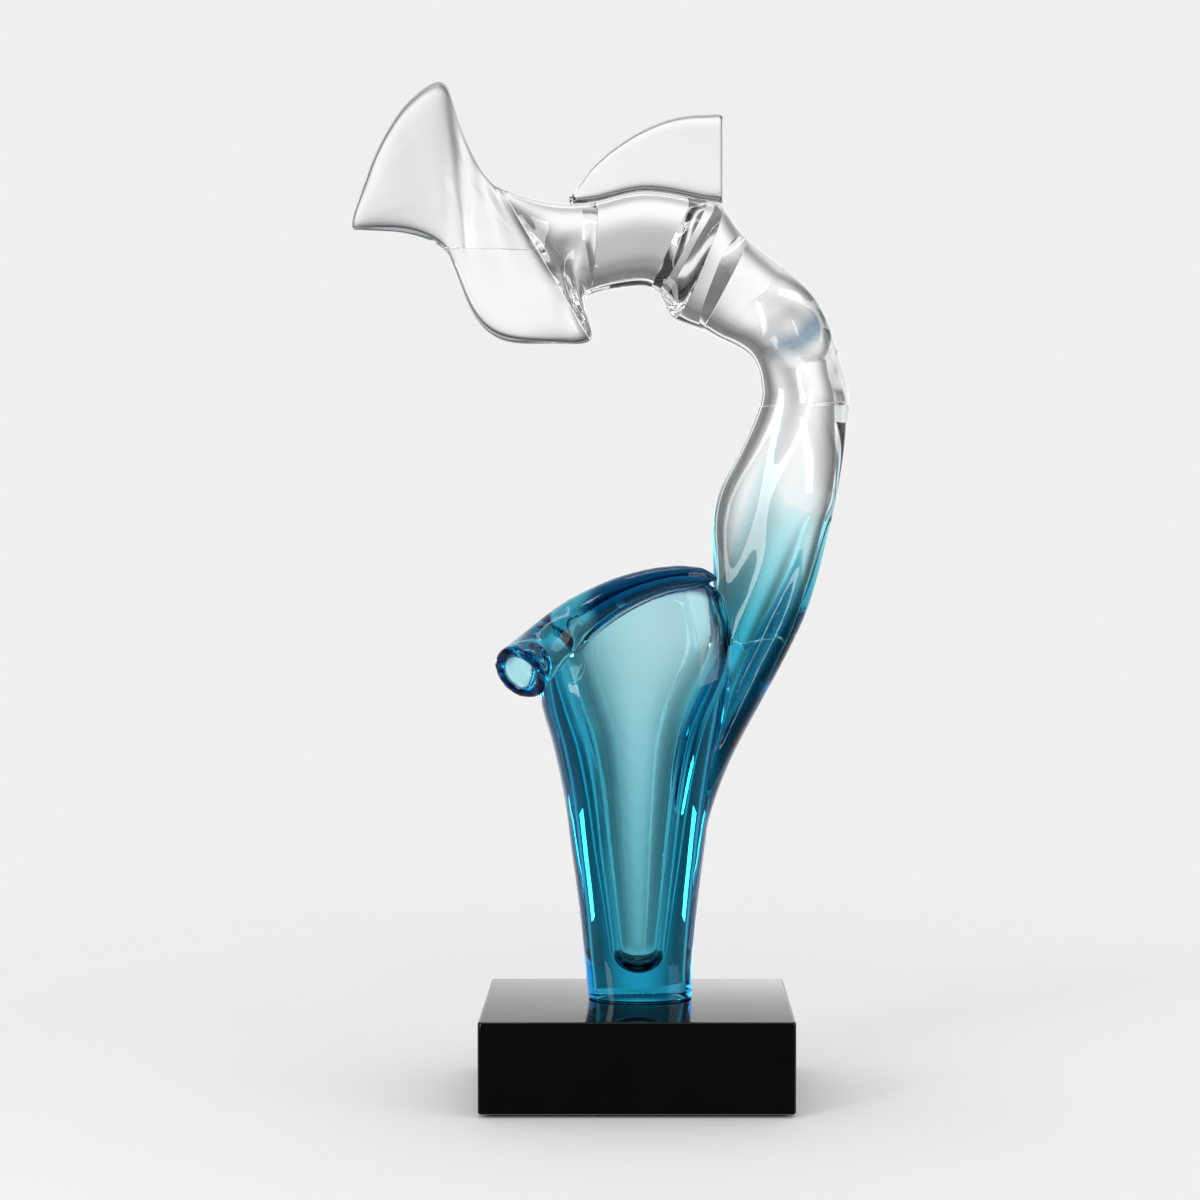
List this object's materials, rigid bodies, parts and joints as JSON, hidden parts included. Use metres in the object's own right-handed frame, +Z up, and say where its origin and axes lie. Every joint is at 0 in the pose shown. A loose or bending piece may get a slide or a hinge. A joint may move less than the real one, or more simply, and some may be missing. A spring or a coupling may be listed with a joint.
{
  "type": "resin wave sculpture",
  "caption": "Free-standing ornament: hollow turquoise resin vase with a rolled lip, rising into a clear twisted wave with a fin and tail, on a black gloss plinth.",
  "frame": {"origin": "middle of the felt pad's underside, on the surface the sculpture stands on", "axes": "+Z up, +Y away from the viewer in front, +X to the viewer's right; the wave arches to -X"},
  "size_m": [0.3209, 0.1321, 0.6615],
  "materials": {
    "turquoise_resin": "polished, clear turquoise through the mass",
    "streaked_resin": "polished, clear with turquoise streaks that fade upwards",
    "clear_resin": "polished, water clear",
    "black_acrylic": "polished black",
    "clear_adhesive": "cured clear adhesive",
    "black_felt": "pressed felt"
  },
  "bodies": {
    "root": {"felt_pad": "black_felt", "plinth": "black_acrylic", "foot_adhesive": "clear_adhesive", "vase_body": "turquoise_resin", "rolled_lip": "turquoise_resin", "flank_core": "turquoise_resin", "neck_lower": "streaked_resin", "neck_core": "streaked_resin", "neck_inner_core": "turquoise_resin", "neck_upper": "clear_resin", "arch_shoulder": "clear_resin", "arch_wedge": "clear_resin", "arch_block": "clear_resin", "top_fin": "clear_resin", "twist_link": "clear_resin", "tail_wing": "clear_resin", "tail_lobe": "clear_resin"}
  },
  "joints": []
}
